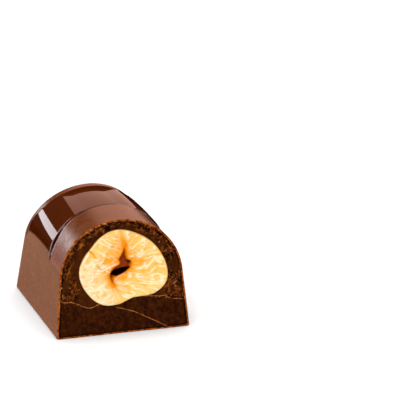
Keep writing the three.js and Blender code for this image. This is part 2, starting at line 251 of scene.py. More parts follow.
# ---- Worked out ----
HALF_WIDTH = BAR_WIDTH / 2
ARCH_RADIUS = (HALF_WIDTH + (BASE_EDGE_RADIUS - BAR_HEIGHT) * math.tan(WALL_DRAFT)) / (
    1 / math.cos(WALL_DRAFT) - math.tan(WALL_DRAFT)
)
ARCH_HEIGHT = BAR_HEIGHT - ARCH_RADIUS
CUT_REACH = HALF_WIDTH * math.tan(CUT_TURN)
FACE_Y = shell_low.y / MM + CUT_REACH  # the middle of the cut, in the part's own frame
BAR_MIDDLE = Vector((0, 0, BAR_HEIGHT / 2 * MM))


# ---- Curves and fields ----


def lerp(a, b, t):
    return a + (b - a) * t


def smoothstep(x, low, high):
    t = np.clip((x - low) / (high - low), 0, 1)
    return t * t * (3 - 2 * t)


def within(x, start, full, fade, end):
    """1 between full and fade, and 0 before start and after end."""
    return smoothstep(x, start, full) * smoothstep(x, end, fade)


def soft_ramp(t, rounding):
    """Rises from 0 to 1, straight in the middle and rounded at both ends."""
    t = np.clip(t, 0, 1)
    slope = 1 / (1 - rounding)
    start = slope * t**2 / (2 * rounding)
    end = 1 - slope * (1 - t) ** 2 / (2 * rounding)
    middle = slope * (t - rounding / 2)
    return np.where(t < rounding, start, np.where(t > 1 - rounding, end, middle))


def grain(x, z, size, seed):
    """A smooth random field between -1 and 1, the same on every run."""
    u, v = x / size, z / size
    i, j = np.floor(u), np.floor(v)
    across, up = smoothstep(u - i, 0, 1), smoothstep(v - j, 0, 1)

    def corner(a, b):
        wave = np.sin(a * 127.1 + b * 311.7 + seed * 74.7) * 43758.5453
        return 2 * (wave - np.floor(wave)) - 1

    low = lerp(corner(i, j), corner(i + 1, j), across)
    high = lerp(corner(i, j + 1), corner(i + 1, j + 1), across)
    return lerp(low, high, up)


def rough(x, z, size, seed, octaves=4, fade=0.55):
    """Several grains together, each half the size of the one before."""
    total, weight = 0, 0
    for k in range(octaves):
        total = total + fade**k * grain(x, z, size / 2**k, seed + 11 * k)
        weight += fade**k
    return total / weight


def ridged(x, z, size, seed, octaves=4):
    """Sharp crests between rounded hollows, 0 to 1."""
    total, weight = 0, 0
    for k in range(octaves):
        total = total + 0.5**k * (1 - np.abs(grain(x, z, size / 2**k, seed + 7 * k)))
        weight += 0.5**k
    return (total / weight) ** 2


def near_segment(a, b, x, z):
    """Distance to a segment, and the share of its length where the nearest point is."""
    run = (b[0] - a[0]) ** 2 + (b[1] - a[1]) ** 2
    t = np.clip(((x - a[0]) * (b[0] - a[0]) + (z - a[1]) * (b[1] - a[1])) / run, 0, 1)
    return np.hypot(x - lerp(a[0], b[0], t), z - lerp(a[1], b[1], t)), t


def near_line(line, x, z):
    """Distance to a line of points."""
    nearest = np.full(np.shape(x), np.inf)
    for a, b in zip(line, line[1:]):
        nearest = np.minimum(nearest, near_segment(a, b, x, z)[0])
    return nearest


def groove(line, x, z, sharpness=0.3):
    """Depth of a groove along a line of (across, height, half width, depth)."""
    deepest = np.zeros(np.shape(x))
    for a, b in zip(line, line[1:]):
        away, t = near_segment(a, b, x, z)
        depth = lerp(a[3], b[3], t) * (1 - smoothstep(away / lerp(a[2], b[2], t), sharpness, 1))
        deepest = np.maximum(deepest, depth)
    return deepest


def smooth_loop(points, steps=6):
    """A closed curve through the points (Catmull-Rom)."""
    p = np.array(points, float)
    before, after, later = np.roll(p, 1, 0), np.roll(p, -1, 0), np.roll(p, -2, 0)
    curve = []
    for t in np.arange(steps) / steps:
        curve.append(
            0.5 * (2 * p + (after - before) * t + (2 * before - 5 * p + 4 * after - later) * t**2
                   + (3 * p - before - 3 * after + later) * t**3)
        )
    return np.stack(curve, 1).reshape(-1, 2)


def depth_in_loop(loop, x, z):
    """Signed distance to a closed curve, positive inside it."""
    closed = np.vstack([loop, loop[:1]])
    inside = np.zeros(np.shape(x), bool)
    for (x0, z0), (x1, z1) in zip(closed, closed[1:]):
        if z0 == z1:
            continue
        crosses = (z0 > z) != (z1 > z)
        inside ^= crosses & (x < x0 + (z - z0) * (x1 - x0) / (z1 - z0))
    return near_line(closed, x, z) * np.where(inside, 1, -1)


# ---- The bar's outline and the cut's relief ----


def eased_line(line, x):
    """Height of a line that eases from one named point to the next."""
    height = np.full(np.shape(x), float(line[0][1]))
    for (x0, z0), (x1, z1) in zip(line, line[1:]):
        height = np.where(x >= x0, lerp(z0, z1, smoothstep(x, x0, x1)), height)
    return height


def inside_outline(across, height):
    """How far a point of the cut face is inside the bar's outline."""
    x = across * math.cos(CUT_TURN)
    wall_x = HALF_WIDTH - (height - BASE_EDGE_RADIUS) * math.tan(WALL_DRAFT)
    wall = (wall_x - np.abs(x)) * math.cos(WALL_DRAFT)
    arch = ARCH_RADIUS - np.hypot(x, height - ARCH_HEIGHT)
    return np.minimum(np.where(height > ARCH_HEIGHT, arch, wall), height)


def crumbliness(across, height):
    """Where the cut broke into crumbs, 0 to 1: along the walls and the arch, and least in the base layer."""
    to_rim = inside_outline(across, height)
    crumbled = CRUMBLED_RIM * (1 - smoothstep(to_rim, 0.3, 2.2))
    for start, full, heights, most in CRUMBLED:
        side = most * smoothstep(across, start, full) * within(height, *heights)
        crumbled = np.maximum(crumbled, side)
    seam = eased_line(LAYER_LINE, across)
    above_seam = smoothstep(height, seam - 0.3, seam + 0.3)
    patches = smoothstep(rough(across, height, 1.8, 31), -0.4, 0.25)
    return crumbled * (0.1 + 0.9 * above_seam) * patches


def shards(across, height):
    """Sharp crests in the broken chocolate, that run along the rim, 0 to 1."""
    turn = np.arctan2(np.maximum(height - ARCH_HEIGHT, 0), np.abs(across))
    round_rim = np.minimum(height, ARCH_HEIGHT) + turn * ARCH_RADIUS
    round_rim = round_rim + np.where(across > 0, 0, 40)  # so that the two sides differ
    inwards = inside_outline(across, height) + 0.35 * grain(across, height, 1.3, 53)
    return ridged(0.4 * round_rim, inwards, 0.55, 51, 3)


def chocolate_relief(across, height):
    """Depth of the broken chocolate behind the plane of the cut."""
    crack = [(x, z, CRACK_RIDGE_WIDTH, CRACK_RIDGE) for x, z in BASE_CRACK]
    broad = CUT_ROUGHNESS * (grain(across, height, 3.1, 1) + 0.6 * grain(across, height, 1.2, 2))
    to_rim = inside_outline(across, height)
    relief = broad * smoothstep(to_rim, 0, RIM_WIDTH) - groove(crack, across, height)
    crumbs = CRUMB_RELIEF * rough(across, height, 0.8, 41) + SHARD_RELIEF * (0.7 - shards(across, height))
    relief += crumbliness(across, height) * crumbs
    relief += FINE_ROUGHNESS * rough(across, height, 0.7, 45)
    gap = RIM_GAP * np.exp(-(((to_rim - SHELL_THICKNESS) / RIM_GAP_WIDTH) ** 2))
    relief += gap * smoothstep(rough(across, height, 1.5, 49), -0.4, 0.3)
    under_seam = eased_line(LAYER_LINE, across) - height
    ridge = SEAM_RIDGE * np.exp(-((under_seam / SEAM_RIDGE_WIDTH) ** 2))
    relief -= ridge * (0.5 + 0.5 * grain(across, height, 0.9, 47))
    relief += SEAM_STEP * within(under_seam, -0.9, -0.1, 0.0, 0.5)
    return relief


def nut_outline(angle):
    """The kernel's radius at an angle round its middle."""
    radius = NUT_RADIUS
    for lobes, size, direction in NUT_LOBES:
        radius = radius + size * np.cos(lobes * (angle - math.radians(direction)))
    return radius


def inside_nut(across, height):
    """How far a point of the cut face is inside the kernel's outline."""
    x, z = across - NUT_CENTRE[0], height - NUT_CENTRE[1]
    return nut_outline(np.arctan2(z, x)) - np.hypot(x, z)


# ---- Meshes ----


def from_face(across, height, depth):
    """Points given on the cut face, in the part's own frame."""
    x = across * math.cos(CUT_TURN) + depth * math.sin(CUT_TURN)
    y = -across * math.sin(CUT_TURN) + depth * math.cos(CUT_TURN)
    return np.stack([x, y + FACE_Y, height], -1)


def add_object(name, data):
    """A new object in the scene, from its mesh, light or camera."""
    made = bpy.data.objects.new(name, data)
    bpy.context.scene.collection.objects.link(made)
    return made


def make_mesh(name, points, faces):
    """A mesh object from points in millimetres."""
    mesh = bpy.data.meshes.new(name)
    mesh.from_pydata((points * MM).tolist(), [], faces)
    body = bmesh.new()
    body.from_mesh(mesh)
    bmesh.ops.recalc_face_normals(body, faces=body.faces)
    body.to_mesh(mesh)
    body.free()
    mesh.shade_smooth()
    return add_object(name, mesh)


def loft(rings):
    """Points and faces of the closed body through the rings, with a point in the middle of each end."""
    rings = np.asarray(rings)
    count, sides = rings.shape[:2]
    points = np.vstack([rings.reshape(-1, 3), rings[0].mean(0), rings[-1].mean(0)])
    r, s = np.meshgrid(np.arange(count - 1), np.arange(sides), indexing="ij")
    a, b = r * sides + s, r * sides + (s + 1) % sides
    faces = np.stack([a, a + sides, b + sides, b], -1).reshape(-1, 4).tolist()
    first, last = count * sides, count * sides + 1
    for s in range(sides):
        after = (s + 1) % sides
        faces.append([first, s, after])
        faces.append([last, (count - 1) * sides + after, (count - 1) * sides + s])
    return points, faces


def carve(piece, tool, operation):
    """Cuts a piece with a tool mesh, or keeps what both share. The result has no material slots."""
    modifier = piece.modifiers.new("carve", "BOOLEAN")
    modifier.object = tool
    modifier.operation = operation
    modifier.solver = "MANIFOLD"
    graph = bpy.context.evaluated_depsgraph_get()
    carved = bpy.data.meshes.new_from_object(piece.evaluated_get(graph))
    carved.materials.clear()
    piece.modifiers.clear()
    piece.data = carved


def points_of(piece):
    """A mesh's points in the bar's axes, in millimetres."""
    co = np.empty(len(piece.data.vertices) * 3)
    piece.data.vertices.foreach_get("co", co)
    return co.reshape(-1, 3) / MM - [0, FACE_Y, 0]


def mark(piece, name, values):
    """Stores a value for each point, for the materials to read."""
    attribute = piece.data.attributes.new(name, "FLOAT", "POINT")
    attribute.data.foreach_set("value", np.asarray(values, np.float32))


# ---- The mould shape ----


def outline_places():
    """Places round the bar's outline, each as (stretch, share of the stretch, side)."""
    right = [(stretch, k / steps) for stretch, steps in OUTLINE_STEPS.items() for k in range(steps)]
    right.append(("arch", 1.0))
    left = [(stretch, t, -1) for stretch, t in reversed(right[1:-1])]
    return [(stretch, t, 1) for stretch, t in right] + left


PLACES = outline_places()
STRETCH, SHARE, SIDE = (np.array(column) for column in zip(*PLACES))
ANGLE = np.where(STRETCH == "arch", lerp(WALL_DRAFT, math.pi / 2, SHARE), WALL_DRAFT)


def outline(inset, panel=0.0, swell=0.0):
    """x and z round the bar, made smaller all round by inset, with a share of the panel's form."""
    low, high = HAUNCH_ANGLES
    up_haunch = (np.minimum(ANGLE, high) - low) / (high - low)
    sink = smoothstep(ANGLE, *CROWN_ANGLES)
    relief = HAUNCH_RISE * np.sin(math.pi * up_haunch) ** 2 - CROWN_SINK * sink
    crowning = swell * smoothstep(ANGLE, low, (low + high) / 2)
    radius = ARCH_RADIUS - inset + np.where(STRETCH == "arch", panel * relief + crowning, 0)
    arch_x = radius * np.cos(ANGLE)
    arch_z = ARCH_HEIGHT + radius * np.sin(ANGLE)
    turn = np.where(STRETCH == "corner", SHARE, 1) * math.pi / 2
    corner_x = HALF_WIDTH - inset - BASE_EDGE_RADIUS * (1 - np.sin(turn))
    corner_z = inset + BASE_EDGE_RADIUS * (1 - np.cos(turn))
    up_wall = np.where(STRETCH == "wall", SHARE, 0)
    x = np.where(STRETCH == "arch", arch_x, lerp(corner_x, arch_x, up_wall))
    z = np.where(STRETCH == "arch", arch_z, lerp(corner_z, arch_z, up_wall))
    base = STRETCH == "base"
    x = np.where(base, (HALF_WIDTH - inset - BASE_EDGE_RADIUS) * SHARE, x)
    return x * SIDE, np.where(base, inset, z)


def panel_front(angle):
    """Where the slope in front of the panel starts, and how long it is, at an angle round the arch."""
    foot = lerp(*PANEL_FOOT, smoothstep(angle, *PANEL_FOOT_ANGLES))
    return foot, lerp(*FRONT_RUN, smoothstep(angle, *CROWN_ANGLES))


def mould_skin(inset):
    """Rings of the mould shape from the panel's front to the end wall, and how polished their points are."""
    rings, polish = [], []
    foot, run = panel_front(ANGLE)
    front = foot + run
    back_run = lerp(*BACK_RUN, smoothstep(ANGLE, *CROWN_ANGLES))
    edge = END_EDGE_RADIUS - inset / 2

    def end_y(z):
        return BAR_LENGTH - inset / math.cos(END_DRAFT) - z * math.tan(END_DRAFT)

    def back_foot(z):
        return end_y(z) - END_RING_WIDTH + inset

    def add(y_of, panel=0.0, swell=0.0, shrink=0.0, shine=0.0):
        x, z = outline(inset + shrink, panel, swell)
        rings.append(np.stack([x, y_of(z), z], -1))
        polish.append(shine * smoothstep(ANGLE, *POLISH_ANGLES))

    for t in np.linspace(0, 1, SLOPE_RINGS):
        add(lambda z: lerp(foot, front, t), soft_ramp(t, SLOPE_ROUNDING), shine=min(1, 4 * t))
    for t in np.linspace(0, 1, PANEL_RINGS)[1:-1]:
        swell = PANEL_CROWNING * 4 * t * (1 - t)
        add(lambda z: lerp(front, back_foot(z) - back_run, t), 1, swell, shine=1)
    for t in np.linspace(1, 0, BACK_RINGS):
        add(lambda z: back_foot(z) - t * back_run, soft_ramp(t, SLOPE_ROUNDING), shine=min(1, 4 * t))
    for t in (1 / 3, 2 / 3):
        add(lambda z: lerp(back_foot(z), end_y(z) - edge, t))
    for turn in np.radians(np.linspace(0, 90, END_EDGE_RINGS)):
        add(lambda z: end_y(z) - edge * (1 - math.sin(turn)), shrink=edge * (1 - math.cos(turn)))
    rim_of_wall = rings[-1]
    for t in END_WALL_RINGS:
        rings.append(lerp(rim_of_wall, rim_of_wall.mean(0), t))
        polish.append(np.zeros(len(PLACES)))
    return rings, polish


def cut_y(x):
    """Where the plane of the cut is, along the bar."""
    return -x * math.tan(CUT_TURN)


# ---- Pieces ----


def make_shell():
    """The shell as one closed body: end wall, outer skin, rim of the cut, inner skin.

    The faces of the broken rim take the shell's second material.
    """
    outer, polish = mould_skin(0)
    x, z = outline(0)
    upper_left = smoothstep(z, 8, 11) * smoothstep(x, 3, -2)
    chip = smoothstep(rough(x, z, 1.3, 61, 3), 0.0, 0.6) * lerp(*CHIP_DEPTH, upper_left)
    broken_edge = cut_y(x) + RIM_ROUNDING + chip
    denser_at_rim = np.linspace(0, 1, BAND_RINGS)[:-1] ** 1.6
    band = [np.stack([x, lerp(broken_edge, outer[0][:, 1], t), z], -1) for t in denser_at_rim]

    rim = []
    across_rim = []
    for turn in EDGE_TURNS:
        edge_x, edge_z = outline(RIM_ROUNDING * (1 - math.cos(turn)))
        rim.append(np.stack([edge_x, cut_y(edge_x) + RIM_ROUNDING * (1 - math.sin(turn)) + chip, edge_z], -1))
        across_rim.append(ROUNDED_SHARE * math.sin(turn))
    for t in np.linspace(0, 1, RIM_RINGS)[1:]:
        rim_x, rim_z = outline(lerp(RIM_ROUNDING, SHELL_THICKNESS, t))
        depth = chocolate_relief(rim_x / math.cos(CUT_TURN), rim_z) + chip * (1 - t)
        rim.append(np.stack([rim_x, cut_y(rim_x) + depth, rim_z], -1))
        across_rim.append(lerp(ROUNDED_SHARE, 1, t))

    inner, _ = mould_skin(SHELL_THICKNESS)
    rings = outer[::-1] + band[::-1] + rim + inner
    points, faces = loft(rings)
    piece = make_mesh("chocolate_shell", points + [0, FACE_Y, 0], faces)
    polish = np.concatenate(polish[::-1])
    mark(piece, "polish", np.pad(polish, (0, len(points) - len(polish))))
    broken = [0] * (len(outer) + len(band)) + across_rim + [1] * len(inner)
    broken = np.append(np.repeat(broken, len(PLACES)), [0, 0])
    mark(piece, "broken", broken)
    mark_bands(piece)
    piece.data.polygons.foreach_set("material_index", [int(min(broken[face]) > 0) for face in faces])
    return piece


def mark_bands(piece):
    """Marks the painted light and shade in front of the panel: painted shade in the creases with painted
    glints beside them, painted shade at the ledge and painted light on the haunches.
    """
    x, along, height = points_of(piece).T
    angle = np.arctan2(height - ARCH_HEIGHT, np.abs(x))
    foot, run = panel_front(angle)
    up_slope = (along - foot) / run
    before_panel = 1 - smoothstep(along, *PANEL_FOOT)
    at_crease = within(height, *CREASE_HEIGHTS)
    at_ledge = within(x, *LEDGE_ACROSS) * (height > ARCH_HEIGHT)
    painted_glints = sum(within(up_slope, *places) for places in PAINTED_GLINTS_ON_SLOPE)
    mark(piece, "crease_shade", within(up_slope, *CREASE_ON_SLOPE) * at_crease)
    mark(piece, "painted_glint", painted_glints * at_crease)
    mark(piece, "ledge_shade", within(up_slope, *LEDGE_ON_SLOPE) * at_ledge)
    mark(piece, "painted_haunch_light", within(angle, *PAINTED_HAUNCH_LIGHT_ANGLES) * before_panel)


def block(across, height):
    """A closed block behind the cut, with the cut's relief on its front."""
    s, z = (np.linspace(low, high, round((high - low) / FACE_CELL) + 1) for low, high in (across, height))
    s, z = np.meshgrid(s, z, indexing="ij")
    rows, columns = s.shape
    front = from_face(s, z, chocolate_relief(s, z)).reshape(-1, 3)
    back = from_face(s, z, np.full(s.shape, BAR_LENGTH + TOOL_MARGIN)).reshape(-1, 3)
    number = np.arange(rows * columns).reshape(rows, columns)
    sheet = np.stack([number[:-1, :-1], number[1:, :-1], number[1:, 1:], number[:-1, 1:]], -1)
    sheet = sheet.reshape(-1, 4)
    border = np.concatenate([number[:-1, 0], number[-1, :-1], number[:0:-1, -1], number[0, :0:-1]])
    after = np.roll(border, -1)
    sides = np.stack([border, border + rows * columns, after + rows * columns, after], -1)
    faces = np.vstack([sheet, sheet[:, ::-1] + rows * columns, sides])
    return make_mesh("block", np.vstack([front, back]), faces.tolist())


def layer_slab(above):
    """Everything above, or below, the top of the base layer."""
    s = np.linspace(-SLAB_REACH, SLAB_REACH, SEAM_STEPS + 1)
    far = 2 * BAR_HEIGHT if above else -BAR_HEIGHT
    line = np.stack([s, eased_line(LAYER_LINE, s) + (-OVERLAP if above else OVERLAP)], -1)
    profile = np.vstack([line, [[SLAB_REACH, far], [-SLAB_REACH, far]]])
    depths = (-TOOL_MARGIN, BAR_LENGTH + TOOL_MARGIN)
    points, faces = loft([from_face(*profile.T, np.full(len(profile), depth)) for depth in depths])
    return make_mesh("slab", points, faces)


def nut_rings(extra, steps):
    """Rings of the kernel's skin from the cut's plane to its back."""
    angle = np.linspace(0, 2 * math.pi, NUT_SIDES, endpoint=False)
    rings = []
    for turn in np.linspace(0, math.pi / 2, steps + 1)[:-1]:
        reach = (nut_outline(angle) + extra) * math.cos(turn)
        depth = np.full(NUT_SIDES, (NUT_DEPTH + extra) * math.sin(turn))
        across = NUT_CENTRE[0] + reach * np.cos(angle)
        height = NUT_CENTRE[1] + reach * np.sin(angle)
        rings.append(from_face(across, height, depth))
    return rings


def nut_room():
    """The room that the kernel takes in the chocolate, open towards the cut."""
    rings = nut_rings(-OVERLAP, NUT_ROOM_RINGS)
    forward = from_face(0, 0, -TOOL_SIDE_MARGIN) - from_face(0, 0, 0)
    points, faces = loft([rings[0] + forward, *rings])
    return make_mesh("room", points, faces)


def make_cut_chocolate(name, above):
    """The filling, above the top of the base layer, or the base layer under it."""
    rings, _ = mould_skin(SHELL_THICKNESS - OVERLAP)
    front = np.stack([rings[0][:, 0], np.full(len(PLACES), -2 * CUT_REACH), rings[0][:, 2]], -1)
    points, faces = loft([front, *rings])
    piece = make_mesh(name, points + [0, FACE_Y, 0], faces)
    reach = HALF_WIDTH + TOOL_SIDE_MARGIN
    tools = [
        (block((-reach, reach), (-1, BAR_HEIGHT + 1)), "INTERSECT"),
        (layer_slab(above), "INTERSECT"),
        (nut_room(), "DIFFERENCE"),
    ]
    for tool, operation in tools:
        carve(piece, tool, operation)
        bpy.data.objects.remove(tool)
    piece.data.shade_smooth()
    piece.data.set_sharp_from_angle(angle=SHARP_ANGLE)
    x, y, height = points_of(piece).T
    across = x * math.cos(CUT_TURN) - y * math.sin(CUT_TURN)
    mark(piece, "crumbly", crumbliness(across, height))
    mark(piece, "shard", shards(across, height))
    mark(piece, "from_seam", np.abs(height - eased_line(LAYER_LINE, across)))
    mark(piece, "from_crack", near_line(BASE_CRACK, across, height))
    mark(piece, "from_rim", inside_outline(across, height) - SHELL_THICKNESS)
    return piece


def kernel_fibres(across, height):
    """Crests of the torn fibres, 0 to 1: they fan out from the spine, and others curl over the face."""
    spine_across, spine_height = np.array(SPINE)[::-1].T
    from_spine = across - np.interp(height, spine_height, spine_across)
    up_fan = (height - NUT_CENTRE[1]) / (1 + FIBRE_SPREAD * np.abs(from_spine))
    up_fan = up_fan + FIBRE_WAVE * grain(across, height, 1.4, 71)
    fan = ridged(up_fan, from_spine * FIBRE_STRETCH, 0.42, 73, 2)
    fan = smoothstep(fan, 0.42, 0.75) * smoothstep(np.abs(from_spine), 0.3, 1.0)
    turn = CURL_TURN + CURL_SWING * grain(across, height, 2.6, 77)
    along = across * np.cos(turn) - height * np.sin(turn)
    over = height * np.cos(turn) + across * np.sin(turn)
    curl = ridged(along * 0.3, over, 0.6, 79, 3)
    curl = smoothstep(curl, 0.58, 0.8) * smoothstep(grain(across, height, 1.9, 81), -0.3, 0.4)
    return np.maximum(0.9 * fan, 0.8 * curl)


def nut_shape(across, height):
    """Depth of the kernel's cut face behind the plane of the cut, and what its colours follow."""
    to_skin = inside_nut(across, height)
    edge = NUT_EDGE_DROP * (1 - smoothstep(to_skin, -NUT_EDGE_WIDTH, NUT_EDGE_WIDTH))
    round_skin = np.clip(1 - to_skin / NUT_ROUNDING_WIDTH, 0, 1)
    edge = edge + NUT_ROUNDING * (1 - np.sqrt(1 - round_skin**2))

    inside = depth_in_loop(smooth_loop(HOLLOW_MOUTH), across, height)
    outside = 1 - smoothstep(inside, -0.1, 0.2)
    before_mouth = np.minimum(inside, 0)
    hollow = HOLLOW_DEPTH * smoothstep(inside, -0.08, HOLLOW_WALL) ** 0.8
    slot = groove(SLOT, across, height, 0.25) * smoothstep(inside, 0.0, 0.2)
    from_shade_spot = np.hypot(across - SHADE_SPOT[0], height - SHADE_SPOT[1])
    upper_left = smoothstep(across, 0.8, -0.4) * smoothstep(height, 12.0, 13.0)
    shoulder = lerp(*SHOULDER_DROP, upper_left) * np.exp(before_mouth / SHOULDER_WIDTH) * outside

    facets, orange = 0, 0
    for loop, depth, tint in FACETS:
        chip = smoothstep(depth_in_loop(np.array(loop), across, height), 0, FACET_EDGE)
        facets = np.maximum(facets, depth * chip)
        orange = np.maximum(orange, tint * chip)
    grooves = np.maximum.reduce([groove(line, across, height) for line in SUTURES])
    lips = np.maximum.reduce([groove(line, across, height, 0.0) for line in LIPS]) * outside
    broken = np.maximum(facets, grooves) * outside

    fibres_and_highlight = kernel_fibres(across, height) * outside * smoothstep(to_skin, 0.05, 0.3)
    # painted highlight: a pale line along the kernel's skin at its left
    skin_edge_highlight = within(to_skin, 0.08, 0.16, 0.25, 0.45) * smoothstep(across, -2.0, -4.5)
    fibres_and_highlight = np.maximum(fibres_and_highlight, skin_edge_highlight * smoothstep(rough(across, height, 1.1, 85), -0.3, 0.1))
    relief = FACE_SWELL * grain(across, height, 1.7, 3) - FIBRE_RELIEF * fibres_and_highlight
    relief = relief + FACE_ROUGHNESS * rough(across, height, 0.6, 75, 3) * outside
    depth = relief + edge + np.maximum(hollow + slot, broken) + shoulder - lips - NUT_PROUD
    marks = {
        # the hollow and slot marks also carry painted shade down the hollow
        "hollow": np.clip(hollow / HOLLOW_DEPTH, 0, 1),
        "slot": np.clip(slot / SLOT_DEPTH, 0, 1),
        # painted glow: orange round the mouth of the hollow, near and wide
        "glow": np.exp(before_mouth / lerp(0.45, 0.8, upper_left)),
        "halo": np.exp(before_mouth / 1.4),
        "orange": orange * smoothstep(rough(across, height, 0.9, 83, 3), -0.7, 0.0),
        "shade_spot": smoothstep(from_shade_spot, SHADE_SPOT[2], 0.1) * smoothstep(inside, 0.0, 0.3),
        "groove": np.clip(grooves / 0.2, 0, 1),
        # painted highlight on the lifted flakes
        "lip_highlight": np.clip(lips / 0.18, 0, 1),
        # the fibres' pale colour, partly a painted highlight, with the painted highlight along the skin
        "fibres_and_highlight": fibres_and_highlight,
        "pale": smoothstep(across, 0.5, -2.5) * smoothstep(height, 14.0, 11.5),
        "skin": 1 - smoothstep(to_skin, 0.03, 0.16),
    }
    return depth, marks


def make_nut():
    """The kernel as one closed body: rings across its cut face, then back over its skin."""
    angle = np.linspace(0, 2 * math.pi, NUT_SIDES, endpoint=False)
    share = (np.arange(1, NUT_FACE_RINGS + 1) / NUT_FACE_RINGS)[:, None]
    across = NUT_CENTRE[0] + share * nut_outline(angle) * np.cos(angle)
    height = NUT_CENTRE[1] + share * nut_outline(angle) * np.sin(angle)
    depth, marks = nut_shape(across, height)
    back = nut_rings(0, NUT_BACK_RINGS)[1:]
    points, faces = loft([*from_face(across, height, depth), *back])
    piece = make_mesh("hazelnut_kernel", points, faces)
    for name, values in marks.items():
        skin = 1.0 if name == "skin" else 0.0
        rest = np.full(len(points) - values.size, skin)
        rest[-2] = values[0].mean()
        mark(piece, name, np.concatenate([values.ravel(), rest]))
    return piece


def on_cut(across, height, out=0.0):
    """The point at a place of the broken chocolate, moved out of it by out."""
    depth = chocolate_relief(np.array(across), np.array(height)) - out
    return from_face(across, height, depth)


def make_crumbs(random):
    """Crumbs and flakes that cling to the cut, as one joined mesh."""
    shape = np.array([(1, 0, 0), (0, 1, 0), (-1, 0, 0), (0, -1, 0), (0, 0, 1), (0, 0, -1)], float)
    sides = np.array([(k, (k + 1) % 4, 4) for k in range(4)] + [((k + 1) % 4, k, 5) for k in range(4)])
    bits = []
    while len(bits) < CRUMBS:
        across, height = random.uniform(-HALF_WIDTH, HALF_WIDTH), random.uniform(0.5, BAR_HEIGHT)
        if inside_outline(across, height) < CRUMB_FROM_RIM or inside_nut(across, height) > -CRUMB_FROM_NUT:
            continue
        likely = crumbliness(across, height) ** 1.5
        from_seam = height - eased_line(LAYER_LINE, across)
        likely += SEAM_CRUMBS * math.exp(-((from_seam / SEAM_CRUMBS_WIDTH) ** 2))
        if random.uniform() > likely:
            continue
        size = min(CRUMB_SIZE * random.lognormal(0, 0.5), LARGEST_CRUMB)
        crumb = shape * random.uniform(0.4, 1.6, 3) * random.uniform(0.6, 1.4, (len(shape), 1))
        turn = Euler(random.uniform(0, 6.3, 3)).to_matrix()
        bits.append(crumb @ np.array(turn) * size + on_cut(across, height, STAND_OUT * size))
    for across, height, length, width, degrees in FLAKES:
        turn = Euler((0, math.radians(degrees), 0)).to_matrix()
        flake = shape * [length / 2, FLAKE_THICKNESS / 2, width / 2] @ np.array(turn).T
        bits.append(flake + on_cut(across, height))
    faces = [sides + k * len(shape) for k in range(len(bits))]
    piece = make_mesh("chocolate_crumbs", np.vstack(bits), np.vstack(faces).tolist())
    piece.data.shade_flat()
    mark(piece, "flake", np.arange(len(bits) * len(shape)) >= CRUMBS * len(shape))
    return piece


# ---- Materials ----

# the dark of the crack in the shell's rim, and the painted shade in the hollows between shards
CRACK_AND_SHADE_COLOUR = (0.008, 0.0012, 0.0001)
FILLING_COLOURS = (0.034, 0.0065, 0.0004), (0.062, 0.0135, 0.0012)
BASE_COLOURS = (0.02, 0.003, 0.0001), (0.042, 0.0085, 0.0004)


class Shader:
    """A short way to write a material's nodes. Sizes are in millimetres."""

    def __init__(self, name):
        self.material = bpy.data.materials.new(name)
        self.material.use_nodes = True
        self.tree = self.material.node_tree
        self.surface = self.tree.nodes["Principled BSDF"]
        self.place = self.node("ShaderNodeTexCoord").outputs["Object"]

    def node(self, kind, inputs=None, **settings):
        made = self.tree.nodes.new(kind)
        for key, value in settings.items():
            setattr(made, key, value)
        for socket, value in (inputs or {}).items():
            self.put(made.inputs[socket], value)
        return made

    def put(self, socket, value):
        if isinstance(value, bpy.types.NodeSocket):
            self.tree.links.new(value, socket)
        elif socket.type == "RGBA":
            socket.default_value = (*value, 1)
        else:
            socket.default_value = value

    def set(self, **values):
        """Sets the surface shader's sockets; a name's underscores stand for spaces."""
        for name, value in values.items():
            self.put(self.surface.inputs[name.replace("_", " ")], value)

    def mark(self, name):
        return self.node("ShaderNodeAttribute", attribute_name=name).outputs["Fac"]

    def noise(self, size, detail=3.0, stretch=(1, 1, 1), distortion=0.0):
        scaled = self.node("ShaderNodeMapping", {"Vector": self.place, "Scale": stretch})
        return self.node("ShaderNodeTexNoise", {
            "Vector": scaled.outputs[0], "Scale": 1 / (size * MM), "Detail": detail, "Distortion": distortion,
        }).outputs["Fac"]

    def range(self, value, low, high, to_low=0.0, to_high=1.0):
        return self.node("ShaderNodeMapRange", {
            "Value": value, "From Min": low, "From Max": high, "To Min": to_low, "To Max": to_high,
        }, interpolation_type="SMOOTHSTEP").outputs[0]

    def math(self, operation, a, b=0.0):
        return self.node("ShaderNodeMath", {0: a, 1: b}, operation=operation, use_clamp=True).outputs[0]

    def cover(self, colour, *layers):
        """Lays colours over a colour in order, each as (where it shows, colour)."""
        for share, layer in layers:
            mix = self.node("ShaderNodeMix", {0: share, 6: colour, 7: layer}, data_type="RGBA")
            colour = mix.outputs[2]
        return colour

    def bump(self, height, distance, normal=None):
        made = self.node("ShaderNodeBump", {"Height": height, "Distance": distance * MM})
        if normal is not None:
            self.put(made.inputs["Normal"], normal)
        return made.outputs["Normal"]


